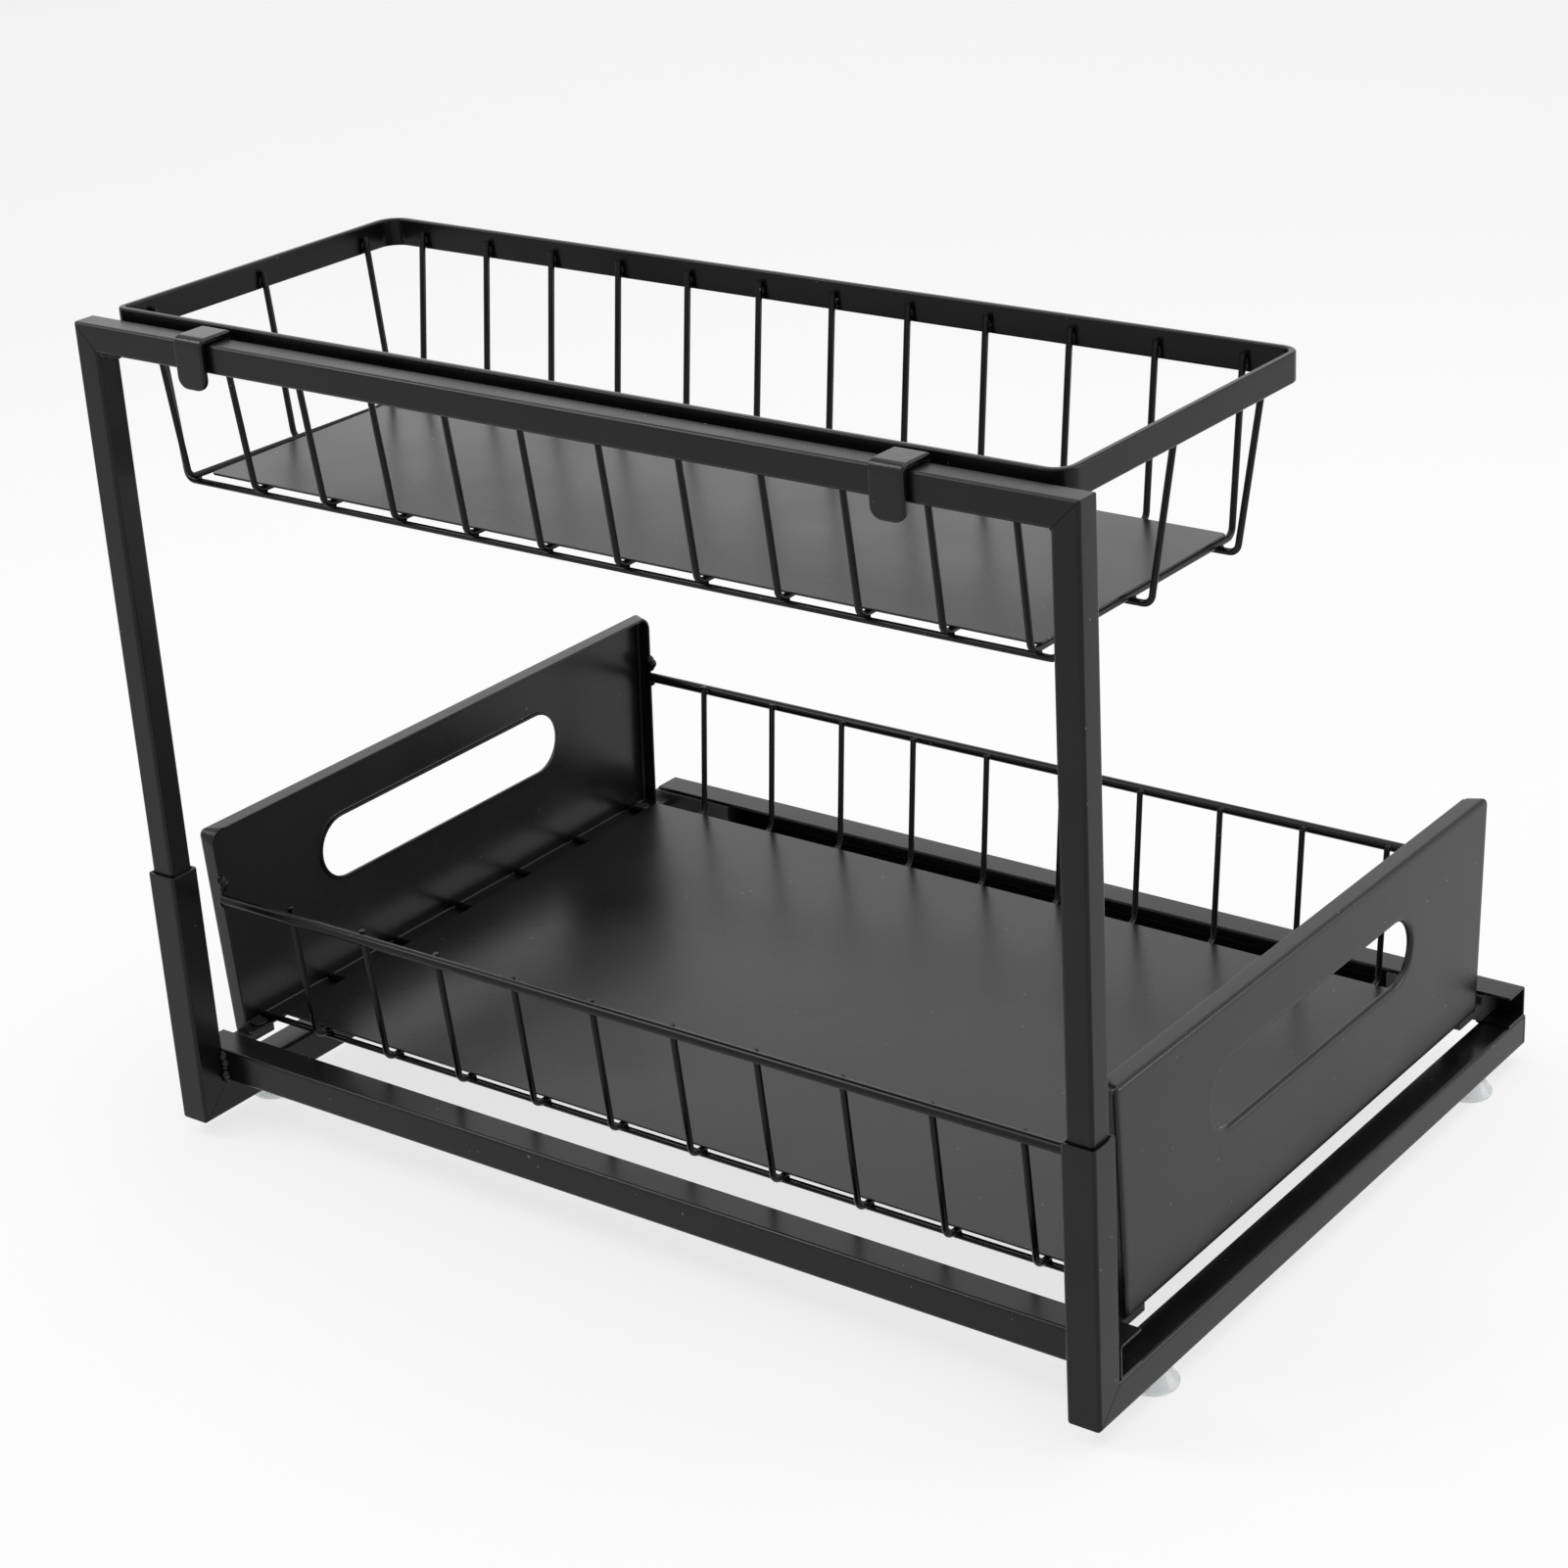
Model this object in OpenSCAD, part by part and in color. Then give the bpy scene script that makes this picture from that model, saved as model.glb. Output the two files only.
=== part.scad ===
// Two-tier organizer for the cupboard under a sink.
// A welded base of square tube carries two inward-facing C-channels. A tray with two sheet-metal
// end panels and wire sides glides in them from end to end. A plug-in arch of thinner square tube
// stands at the front, and a wire basket hangs behind it from two saddle hooks.
// Axes: X along the length, Y from the arch at the front to the back, Z up.
// Origin: under the middle of the frame, on the surface that the four feet stand on.

/* [Frame] */
// Overall length of the frame along X
length = 406; // [380:1:460]
// Depth from the sleeves' front faces to the back ends of the base tubes
depth = 302.5; // [290:0.5:340]
// Height from the underside of the base tubes to the top of the arch
height = 307; // [296:1:360]
// Side of the square tube of the base and sleeves
base_tube = 12.7; // [12.5:0.1:13.5]
// Wall of the base tube
base_wall = 1.2; // [1:0.05:1.25]
// Outer corner radius of the square tubes
tube_corner = 1.3; // [0.8:0.1:1.6]
// Side of the square tube of the arch
arch_tube = 10; // [9.6:0.1:10.1]
// Wall of the arch tube
arch_wall = 1; // [0.8:0.1:1.2]
// Height of the sleeves' open tops above the underside of the base
sleeve_h = 101; // [90:1:115]
// Clearance under the foot of each upright, above the floor of the mitred joint
arch_seat = 0.1; // [0.05:0.05:0.5]

/* [Channels] */
// Height of the C-channels
channel_h = 12.7; // [12.5:0.1:13.2]
// Width of the channel flanges
channel_depth = 12.7; // [12:0.1:13.5]
// Sheet thickness of the channels
channel_wall = 1; // [0.8:0.1:1.2]

/* [Feet] */
// Diameter of each silicone foot
foot_d = 18; // [14:0.5:20]
// Height of each foot
foot_h = 6.5; // [4:0.5:8]
// Distance from the front ends of the base tubes to the middles of the front feet
foot_inset_front = 42; // [25:1:60]
// Distance from the back ends of the base tubes to the middles of the back feet
foot_inset_back = 33; // [25:1:60]

/* [Drawer] */
// Length of the drawer over its two end panels
drawer_l = 398.4; // [370:0.2:405]
// How far the drawer stands off the middle of the frame, to the left
drawer_rest = 6; // [0:0.5:12]
// Width of an end panel along its top edge
panel_top_w = 259; // [256:0.5:262]
// Width of an end panel along its bottom edge
panel_bottom_w = 249.2; // [246:0.2:251]
// Height of an end panel
panel_h = 85.6; // [80:0.2:100]
// Height of the end panels above the underside of the base tubes
panel_lift = 21; // [20:0.2:21.6]
// Sheet thickness of the end panels
panel_sheet = 1; // [0.8:0.1:1.2]
// Radius of the end panels' top corners
panel_corner = 2; // [1.5:0.5:10]
// Width of the flange folded in along the top
top_flange = 7.5; // [5:0.5:9]
// Width of the flanges folded in along the slanting front and back edges
side_flange = 6.8; // [5:0.2:9]
// Width of the flange folded in along the bottom
bottom_flange = 9; // [8.5:0.5:12]
// Length of the handle slot from end to end
slot_l = 139.8; // [110:0.2:160]
// Height of the handle slot
slot_h = 24.8; // [22:0.2:30]
// Height of the slot's middle above the panel's bottom edge
slot_z = 51.5; // [45:0.5:56]
// How far the slot's rim is turned inward
slot_lip = 2.2; // [1.6:0.1:3]

/* [Drawer wires] */
// Diameter of the top rods
top_rod_d = 4; // [3.4:0.1:4.4]
// Height of the top rods above the panel's bottom edge
top_rod_z = 58; // [52:0.5:64]
// Diameter of the U-shaped wires and the floor rods
drawer_wire_d = 2.4; // [2.2:0.1:2.6]
// Number of U-shaped wires
drawer_wires = 10; // [6:1:10]
// Distance from a panel's outer face to the nearest U-shaped wire
wire_end = 38.3; // [30:0.1:60]
// Number of straight rods under the floor sheet
floor_rods = 7; // [4:1:7]
// How far the outermost floor rods lie in from the panels' bottom corners
rod_draw = 12.8; // [12.6:0.1:17]
// How far the U-shaped wires' lower corners lie in from the panels' bottom corners
wire_draw = 6; // [5.4:0.1:6.8]
// Inner rounding of the wires' bends, measured at the wire's middle
drawer_bend = 4; // [3:0.5:5]
// How far a wire's tip stays below the top of its top rod
drawer_tip = 1; // [0:0.1:1.5]
// How far the floor sheet stays off the panels' outer faces
floor_end = 16.3; // [15.2:0.1:30]
// How far the floor sheet stays in from the panels' bottom corners
floor_side = 11.1; // [10.6:0.1:14]
// Thickness of the floor sheets
floor_sheet = 0.8; // [0.6:0.1:1]

/* [Glides] */
// Length of a glide shoe along the channel
shoe_l = 40; // [25:1:60]
// Clearance round a shoe in its channel
shoe_gap = 0.3; // [0.2:0.05:0.4]
// Width of the arm that carries the shoe under the panel
arm_w = 8; // [7:0.5:8]
// Thickness of the arm
arm_t = 3; // [2.5:0.1:3.5]
// Diameter of the snap stud on the arm
stud_d = 5; // [4:0.2:5]
// Clearance round the stud in the panel's flange
stud_gap = 0.1; // [0.05:0.05:0.2]

/* [Basket] */
// Length of the basket's rim
basket_l = 384; // [360:1:386]
// Depth of the basket's rim
basket_d = 139; // [110:1:150]
// How far the basket hangs off the middle of the frame, to the left
basket_rest = 3; // [0:0.5:6]
// Height of the flat strip of the rim
rim_h = 10; // [8:0.5:12]
// Thickness of the strip
rim_t = 2.5; // [2:0.1:3]
// Outer corner radius of the rim
rim_corner = 6; // [4:0.5:11.5]
// How far the rim's top stands above the arch
rim_rise = 2.7; // [2.6:0.1:4]
// Height of the basket's sides, from the rim's top to the middle of its cross wires
basket_h = 62; // [45:1:80]
// Diameter of the basket's wires
basket_wire_d = 2.3; // [2:0.1:2.6]
// Number of cross wires
basket_wires = 12; // [6:1:12]
// Distance from the rim's left end to the first cross wire
first_wire = 16.2; // [12:0.1:30]
// Distance from the rim's right end to the last cross wire
last_wire = 20.2; // [17:0.1:30]
// How far the cross wires draw in from the rim's faces to their lower corners
cross_draw = 11.1; // [9:0.1:20]
// How far the long wires draw in at the left end
long_draw_left = 9.5; // [7.5:0.1:11]
// How far the long wires draw in at the right end
long_draw_right = 13.5; // [8:0.1:15]
// Distance from the rim's front face to the first long wire
long_edge = 14.8; // [14.8:0.1:25]
// Spacing of the three long wires
long_pitch = 52.8; // [40:0.1:54]
// Rounding of the bends, measured at the wire's middle
basket_bend = 3.5; // [3:0.5:4]
// How far the wires' tips stay below the rim's top
basket_tip = 3.5; // [2:0.5:6]
// How far the basket's floor sheet stays off the rim's left end
tray_left = 21.5; // [19:0.1:30]
// How far it stays off the rim's right end
tray_right = 19.5; // [19:0.1:30]
// How far it stays off the rim's front and back faces
tray_side = 14.3; // [14.3:0.1:20]

/* [Hooks] */
// Width of each saddle hook
hook_w = 12.7; // [10:0.1:20]
// Thickness of the hook's strip
hook_t = 2.5; // [2:0.1:2.6]
// Clearance between the hook's legs and the arch
hook_gap = 0.5; // [0.3:0.05:0.6]
// Length of the hook's front leg below the arch's top
hook_front = 15.6; // [12:0.1:20]
// Length of the hook's back leg below the arch's top
hook_back = 12; // [8:0.1:13.5]
// Distance between the middles of the two hooks
hook_spacing = 282; // [200:1:320]
// How far the pair of hooks sits off the middle of the frame, to the left
hook_rest = 3.3; // [0:0.1:6]

/* [Hidden] */
// Wires and sheets that are welded together are drawn this far apart
weld_gap = 0.05;
// Clearance of a moulded piece in the hole or tube that it is pressed into
plug_gap = 0.1;
// Corner radius of the two floor sheets
sheet_corner = 2;
// Smallest cut that opens a hollow cleanly
eps = 0.01;
round_fn = 48;
wire_fn = 24;
// Faces round a bent wire, and steps along each of its bends
wire_sides = 12;
bend_steps = 5;

x_right = length / 2;
y_front = -depth / 2;
y_back = depth / 2;
z_base = foot_h;
z_deck = z_base + base_tube;
z_arch = z_base + height;
arch_front = y_front + (base_tube - arch_tube) / 2;
arch_x = x_right - base_tube / 2;

// The channels stand on the base tubes behind the sleeves, and the drawer runs midway between them
channel_y = [y_front + base_tube, y_back];
drawer_y = (channel_y[0] + channel_y[1]) / 2;
drawer_x = -drawer_rest;
z_panel = z_base + panel_lift;
panel_lean = atan((panel_top_w - panel_bottom_w) / 2 / panel_h);
z_floor_rod = z_panel + panel_sheet + drawer_wire_d / 2 + weld_gap;
z_drawer_wire = z_floor_rod + drawer_wire_d + weld_gap;
z_drawer_floor = z_drawer_wire + drawer_wire_d / 2 + weld_gap;
z_top_rod = z_panel + top_rod_z;
// Half the distance between the slanting flanges' mid-planes at the top rods
top_rod_y = panel_bottom_w / 2 + top_rod_z * tan(panel_lean) - panel_sheet / 2;
drawer_tip_y = top_rod_y - (top_rod_d + drawer_wire_d) / 2 - weld_gap;
stud_x = drawer_l / 2 - panel_sheet - arm_w / 2;
stud_y = panel_bottom_w / 2 - arm_w;

// The basket's rim hangs one hook strip behind the arch
rim_front = arch_front + arch_tube + hook_gap + hook_t;
basket_y = rim_front + basket_d / 2;
basket_x = -basket_rest;
z_rim = z_arch + rim_rise;
z_cross = z_rim - basket_h;
z_long = z_cross - basket_wire_d - weld_gap;
z_tray = z_cross + basket_wire_d / 2 + weld_gap;
rim_inset = rim_t + basket_wire_d / 2 + weld_gap;

steel = "#1c1c1d";
sheet_black = "#262627";
nylon = "#111112";
silicone = "#d9dcdc";

// A square with rounded corners, centred on the origin
module rounded_square(w, h, r) {
    square([w - 2 * r, h], center = true);
    square([w, h - 2 * r], center = true);
    for (x = [-1, 1], y = [-1, 1])
        translate([x * (w / 2 - r), y * (h / 2 - r)]) circle(r, $fn = round_fn);
}

// The section of a square tube: open inside, with a small radius in its inner corners
module tube_section(side, wall) {
    difference() {
        rounded_square(side, side, tube_corner);
        rounded_square(side - 2 * wall, side - 2 * wall, max(tube_corner - wall, 0.3));
    }
}

// A slot outline with half-round ends
module slot_outline(l, h) {
    square([l - h, h], center = true);
    for (x = [-1, 1]) translate([x * (l - h) / 2, 0]) circle(h / 2, $fn = round_fn);
}

// A round wire in the YZ plane, bent up at both ends. Its straight run is centred on z = 0.
// low holds the Y places of its two lower corners and high those of its tips, rise above the run.
// The wire is one skin over rings, each of them [y, z, heading] along the wire.
module bent_wire(low, high, rise, bend, d) {
    lean = [for (i = [0, 1]) atan(abs(high[i] - low[i]) / rise)];
    setback = [for (a = lean) bend * tan((90 - a) / 2)];
    left = [for (i = [0:bend_steps])
        bend_ring(low[0] + setback[0], bend, (lean[0] - 90) * (1 - i / bend_steps))];
    right = [for (i = [0:bend_steps])
        bend_ring(low[1] - setback[1], bend, (90 - lean[1]) * i / bend_steps)];
    rings = concat([[high[0], rise, lean[0] - 90]], left, right, [[high[1], rise, 90 - lean[1]]]);
    last = len(rings) - 1;
    polyhedron(
        points = [for (ring = rings, i = [0:wire_sides - 1])
            let (t = 360 * i / wire_sides, out = d / 2 * sin(t))
            [d / 2 * cos(t), ring[0] - out * sin(ring[2]), ring[1] + out * cos(ring[2])]],
        faces = concat(
            [[for (i = [wire_sides - 1:-1:0]) i]],
            [for (k = [0:last - 1], i = [0:wire_sides - 1])
                let (j = (i + 1) % wire_sides, at = k * wire_sides)
                [at + i, at + j, at + wire_sides + j, at + wire_sides + i]],
            [[for (i = [0:wire_sides - 1]) last * wire_sides + i]]
        )
    );
}

// A ring of a bend whose middle is at [y, bend], where the wire has the given heading
function bend_ring(y, bend, heading) = [y + bend * sin(heading), bend * (1 - cos(heading)), heading];

// Base tube along Y, mitred at the front to meet the sleeve and open at the back
module base_tube(side) {
    color(steel) translate([side * arch_x, 0, z_base + base_tube / 2]) intersection() {
        translate([0, y_back, 0]) rotate([90, 0, 0]) linear_extrude(depth) tube_section(base_tube, base_wall);
        rotate([90, 0, 90]) linear_extrude(2 * base_tube, center = true) polygon([
            [y_front, -base_tube / 2], [y_back, -base_tube / 2],
            [y_back, base_tube / 2], [y_front + base_tube, base_tube / 2]
        ]);
    }
}

// Sleeve standing on the base tube's mitre, with its open top for the upright
module sleeve(side) {
    color(steel) translate([side * arch_x, y_front + base_tube / 2, z_base]) intersection() {
        linear_extrude(sleeve_h) tube_section(base_tube, base_wall);
        rotate([90, 0, 90]) linear_extrude(2 * base_tube, center = true) polygon([
            [-base_tube / 2, 0], [base_tube / 2, base_tube],
            [base_tube / 2, sleeve_h], [-base_tube / 2, sleeve_h]
        ]);
    }
}

// Moulded plug that closes the back end of a base tube
module end_plug(side) {
    head_t = 1.5;
    body_l = 12;
    body_wall = 1.5;
    corner = 0.8;
    bore = base_tube - 2 * base_wall - 2 * plug_gap;
    color(nylon) translate([side * arch_x, y_back, z_base + base_tube / 2]) rotate([90, 0, 0]) {
        translate([0, 0, -head_t]) linear_extrude(head_t) rounded_square(base_tube, base_tube, tube_corner);
        linear_extrude(body_l) difference() {
            rounded_square(bore, bore, corner);
            rounded_square(bore - 2 * body_wall, bore - 2 * body_wall, corner / 2);
        }
    }
}

// C-channel along X with its open side toward the drawer; facing is 1 at the front and -1 at the back
module channel(at, facing) {
    bend = 1.2;
    color(steel) translate([0, at, z_deck]) rotate([90, 0, 90])
        linear_extrude(length, center = true) mirror([(1 - facing) / 2, 0]) difference() {
            translate([channel_depth, channel_h / 2]) rounded_square(2 * channel_depth, channel_h, bend);
            translate([channel_depth, channel_h / 2])
                rounded_square(2 * (channel_depth - channel_wall), channel_h - 2 * channel_wall, bend / 2);
            translate([channel_depth, -eps]) square([2 * channel_depth, channel_h + 2 * eps]);
        }
}

// Clear silicone foot: a round-edged pad that narrows to the tube above it
module foot(side, y) {
    r = foot_d / 2;
    edge = 1.2;
    neck = 0.62 * r;
    color(silicone) translate([side * arch_x, y, 0]) rotate_extrude($fn = round_fn) polygon(concat(
        [[0, 0]], arc(r - edge, edge, edge, -90, 50, 6), [[neck, foot_h], [0, foot_h]]
    ));
}

// Upright of the arch: plugged into its sleeve down to the mitred joint, and mitred to the rail
module upright(side) {
    foot_z = z_base + base_wall + arch_seat;
    color(steel) translate([side * arch_x, arch_front + arch_tube / 2, 0]) intersection() {
        translate([0, 0, foot_z]) linear_extrude(z_arch - foot_z) tube_section(arch_tube, arch_wall);
        rotate([90, 0, 0]) linear_extrude(2 * arch_tube, center = true) mirror([(1 - side) / 2, 0]) polygon([
            [-arch_tube / 2, foot_z], [arch_tube / 2, foot_z],
            [arch_tube / 2, z_arch], [-arch_tube / 2, z_arch - arch_tube]
        ]);
    }
}

// Rail of the arch between the two mitres
module top_rail() {
    half = arch_x + arch_tube / 2;
    color(steel) translate([0, arch_front + arch_tube / 2, z_arch - arch_tube / 2]) intersection() {
        rotate([90, 0, 90]) linear_extrude(2 * half, center = true) tube_section(arch_tube, arch_wall);
        rotate([90, 0, 0]) linear_extrude(2 * arch_tube, center = true) polygon([
            [-half, arch_tube / 2], [half, arch_tube / 2],
            [half - arch_tube, -arch_tube / 2], [arch_tube - half, -arch_tube / 2]
        ]);
    }
}

// Points of an arc about [x, y], for the rounded corners of a folded panel
function arc(x, y, r, from, to, steps = 8) =
    [for (i = [0:steps]) let (a = from + (to - from) * i / steps) [x + r * cos(a), y + r * sin(a)]];

// Face of an end panel in the YZ plane, standing on z = 0, drawn in by inset on every edge
module panel_outline(inset) {
    slope = tan(panel_lean);
    r = max(panel_corner - inset, 1);
    top = panel_h - inset;
    lift = inset / cos(panel_lean);
    low_y = panel_bottom_w / 2 + inset * slope - lift;
    corner_y = panel_bottom_w / 2 + (top - r) * slope - lift - r / cos(panel_lean);
    right = concat([[low_y, inset]], arc(corner_y, top - r, r, -panel_lean, 90));
    polygon(concat(right, [for (i = [len(right) - 1:-1:0]) [-right[i][0], right[i][1]]]));
}

// End panel: one pressed sheet with all four edges folded in and a turned-in handle slot
module drawer_panel(side) {
    deep = max(top_flange, side_flange, bottom_flange);
    color(sheet_black) translate([drawer_x + side * drawer_l / 2, drawer_y, z_panel]) rotate([90, 0, 90])
        mirror([0, 0, (1 + side) / 2]) difference() {
            union() {
                difference() {
                    linear_extrude(deep) panel_outline(0);
                    translate([0, 0, panel_sheet]) linear_extrude(deep) panel_outline(panel_sheet);
                    // above the bottom flange the pan is only as deep as its slanting flanges
                    translate([-panel_top_w, panel_sheet, side_flange])
                        cube([2 * panel_top_w, panel_h, deep]);
                }
                linear_extrude(top_flange) intersection() {
                    difference() {
                        panel_outline(0);
                        panel_outline(panel_sheet);
                    }
                    translate([0, panel_h])
                        square([panel_top_w - 2 * panel_corner, 2 * panel_sheet], center = true);
                }
                translate([0, slot_z, 0]) linear_extrude(slot_lip)
                    slot_outline(slot_l + 2 * panel_sheet, slot_h + 2 * panel_sheet);
            }
            translate([0, slot_z, -1]) linear_extrude(slot_lip + 2) slot_outline(slot_l, slot_h);
            for (y = [-1, 1]) translate([y * stud_y, panel_sheet / 2, panel_sheet + arm_w / 2])
                rotate([90, 0, 0])
                    cylinder(h = 3 * panel_sheet, d = stud_d + 2 * stud_gap, center = true, $fn = round_fn);
        }
}

// Glide shoe in its channel, with an arm under the panel and a snap stud up through the flange
module glide(side, end) {
    inner = channel_depth - channel_wall - shoe_gap;
    shoe_h = channel_h - 2 * channel_wall - 2 * shoe_gap;
    neck = 1.5;
    head_t = 0.8;
    web_y = (channel_y[1] - channel_y[0]) / 2 - channel_wall - shoe_gap;
    arm_x = drawer_l / 2 - panel_sheet - arm_w;
    arm_tip = stud_y - arm_w / 2;
    head_d = stud_d + 2 * head_t;
    color(nylon) translate([drawer_x, drawer_y, 0])
    mirror([(1 - side) / 2, 0, 0]) mirror([0, (1 - end) / 2, 0]) {
        translate([arm_x + arm_w - shoe_l, web_y - inner - neck, z_deck + channel_wall + shoe_gap])
            cube([shoe_l, inner + neck, shoe_h]);
        translate([arm_x, arm_tip, z_panel - arm_t]) cube([arm_w, web_y - inner - arm_tip, arm_t]);
        translate([stud_x, stud_y, z_panel - arm_t])
            cylinder(h = arm_t + panel_sheet + plug_gap, d = stud_d, $fn = round_fn);
        translate([stud_x, stud_y, z_panel + panel_sheet + plug_gap])
            cylinder(h = head_t, d = head_d, $fn = round_fn);
    }
}

// Top rod of a wire side, from one end panel's slanting flange to the other
module drawer_top_rod(end) {
    l = drawer_l - 2 * side_flange - 2 * weld_gap;
    color(steel) translate([drawer_x, drawer_y + end * top_rod_y, z_top_rod])
        rotate([0, 90, 0]) cylinder(h = l, d = top_rod_d, center = true, $fn = wire_fn);
}

// Straight rod that lies on both end panels' bottom flanges
module drawer_floor_rod(i) {
    l = drawer_l - 4 * panel_sheet;
    span = panel_bottom_w - 2 * rod_draw;
    y = (i - 1) * span / (floor_rods - 1) - span / 2;
    color(steel) translate([drawer_x, drawer_y + y, z_floor_rod])
        rotate([0, 90, 0]) cylinder(h = l, d = drawer_wire_d, center = true, $fn = wire_fn);
}

// U-shaped wire across the drawer: over the floor rods and up inside both top rods
module drawer_wire(i) {
    span = drawer_l - 2 * wire_end;
    x = (i - 1) * span / (drawer_wires - 1) - span / 2;
    low = panel_bottom_w / 2 - wire_draw;
    rise = z_top_rod + top_rod_d / 2 - drawer_tip - z_drawer_wire;
    color(steel) translate([drawer_x + x, drawer_y, z_drawer_wire])
        bent_wire([-low, low], [-drawer_tip_y, drawer_tip_y], rise, drawer_bend, drawer_wire_d);
}

// Floor sheet of the drawer, on its wires
module drawer_floor() {
    color(sheet_black) translate([drawer_x, drawer_y, z_drawer_floor]) linear_extrude(floor_sheet)
        rounded_square(drawer_l - 2 * floor_end, panel_bottom_w - 2 * floor_side, sheet_corner);
}

// Rim of the basket: a flat strip on edge, bent to a round-cornered ring
module basket_rim() {
    color(steel) translate([basket_x, basket_y, z_rim - rim_h]) linear_extrude(rim_h) difference() {
        rounded_square(basket_l, basket_d, rim_corner);
        rounded_square(basket_l - 2 * rim_t, basket_d - 2 * rim_t, rim_corner - rim_t);
    }
}

// Cross wire of the basket, welded inside the rim's long sides
module basket_wire(i) {
    pitch = (basket_l - first_wire - last_wire) / (basket_wires - 1);
    x = basket_x - basket_l / 2 + first_wire + (i - 1) * pitch;
    low = basket_d / 2 - cross_draw;
    high = basket_d / 2 - rim_inset;
    color(steel) translate([x, basket_y, z_cross])
        bent_wire([-low, low], [-high, high], basket_h - basket_tip, basket_bend, basket_wire_d);
}

// Long wire of the basket, under the cross wires and welded inside the rim's short ends
module basket_long_wire(i) {
    high = basket_l / 2 - rim_inset;
    low = [long_draw_left - basket_l / 2, basket_l / 2 - long_draw_right];
    rise = z_rim - basket_tip - z_long;
    color(steel) translate([basket_x, rim_front + long_edge + (i - 1) * long_pitch, z_long])
        rotate([0, 0, -90]) bent_wire(low, [-high, high], rise, basket_bend, basket_wire_d);
}

// Floor sheet of the basket, on its cross wires
module basket_floor() {
    color(sheet_black) translate([basket_x + (tray_left - tray_right) / 2, basket_y, z_tray])
        linear_extrude(floor_sheet)
            rounded_square(basket_l - tray_left - tray_right, basket_d - 2 * tray_side, sheet_corner);
}

// Saddle hook: a strip bent over the arch, its back leg welded to the rim
module hook(side) {
    outer = arch_tube + 2 * hook_gap + 2 * hook_t;
    inner = outer - 2 * hook_t;
    reach = max(hook_front, hook_back);
    bend = hook_t + hook_gap;
    tip = hook_w / 3;
    x = side * hook_spacing / 2 - hook_rest;
    color(steel) translate([x, arch_front + arch_tube / 2, z_arch]) intersection() {
        rotate([90, 0, 90]) linear_extrude(hook_w, center = true) difference() {
            translate([0, hook_t - reach]) rounded_square(outer, 2 * reach, bend);
            translate([0, -reach]) square([inner, 2 * reach], center = true);
            translate([-outer, -2 * reach]) square([outer, 2 * reach - hook_front]);
            translate([0, -2 * reach]) square([outer, 2 * reach - hook_back]);
        }
        union() {
            hook_leg_mask(-outer / 2, hook_front, tip);
            hook_leg_mask(0, hook_back, tip);
        }
    }
}

// Rounds the lower end of a hook's leg, over half the hook's depth from y on
module hook_leg_mask(y, leg, r) {
    half = arch_tube / 2 + hook_gap + hook_t;
    translate([0, y + half, (hook_t - leg) / 2]) rotate([90, 0, 0]) linear_extrude(half) {
        rounded_square(hook_w, hook_t + leg, r);
        translate([0, (hook_t + leg) / 4]) square([hook_w, (hook_t + leg) / 2], center = true);
    }
}

base_tube(-1);  // base_tube_left
base_tube(1);  // base_tube_right
sleeve(-1);  // sleeve_left
sleeve(1);  // sleeve_right
end_plug(-1);  // end_plug_left
end_plug(1);  // end_plug_right
channel(channel_y[0], 1);  // channel_front
channel(channel_y[1], -1);  // channel_back
foot(-1, y_front + foot_inset_front);  // foot_front_left
foot(1, y_front + foot_inset_front);  // foot_front_right
foot(-1, y_back - foot_inset_back);  // foot_back_left
foot(1, y_back - foot_inset_back);  // foot_back_right
upright(-1);  // upright_left
upright(1);  // upright_right
top_rail();
drawer_panel(-1);  // drawer_panel_left
drawer_panel(1);  // drawer_panel_right
drawer_floor();
drawer_top_rod(-1);  // drawer_top_rod_front
drawer_top_rod(1);  // drawer_top_rod_back
for (i = [1:floor_rods]) drawer_floor_rod(i);
for (i = [1:drawer_wires]) drawer_wire(i);
glide(-1, -1);  // glide_front_left
glide(1, -1);  // glide_front_right
glide(-1, 1);  // glide_back_left
glide(1, 1);  // glide_back_right
basket_rim();
basket_floor();
hook(-1);  // hook_left
hook(1);  // hook_right
for (i = [1:basket_wires]) basket_wire(i);
for (i = [1:3]) basket_long_wire(i);
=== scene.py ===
import math

import bpy
from mathutils import Matrix, Vector


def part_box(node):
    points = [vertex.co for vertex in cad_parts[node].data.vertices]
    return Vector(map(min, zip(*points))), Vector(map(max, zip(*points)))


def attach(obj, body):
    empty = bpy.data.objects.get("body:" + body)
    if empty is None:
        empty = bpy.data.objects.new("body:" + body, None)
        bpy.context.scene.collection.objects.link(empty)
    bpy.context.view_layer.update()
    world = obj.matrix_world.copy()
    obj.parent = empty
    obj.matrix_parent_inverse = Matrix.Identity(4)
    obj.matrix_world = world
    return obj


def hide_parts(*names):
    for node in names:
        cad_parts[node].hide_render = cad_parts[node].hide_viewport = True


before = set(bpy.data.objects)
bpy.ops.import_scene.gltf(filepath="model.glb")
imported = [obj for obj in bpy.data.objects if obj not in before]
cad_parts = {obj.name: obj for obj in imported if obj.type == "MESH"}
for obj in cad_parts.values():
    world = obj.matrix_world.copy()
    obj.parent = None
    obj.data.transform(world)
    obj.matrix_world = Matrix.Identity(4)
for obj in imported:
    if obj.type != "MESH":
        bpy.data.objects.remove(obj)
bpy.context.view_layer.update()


# The studio: a camera at the photograph's place, a floor of white paper that keeps the organizer's
# shadow, and large soft lamps above it, behind it and at its right.
scene = bpy.context.scene
scene.view_settings.view_transform = "Standard"

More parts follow.
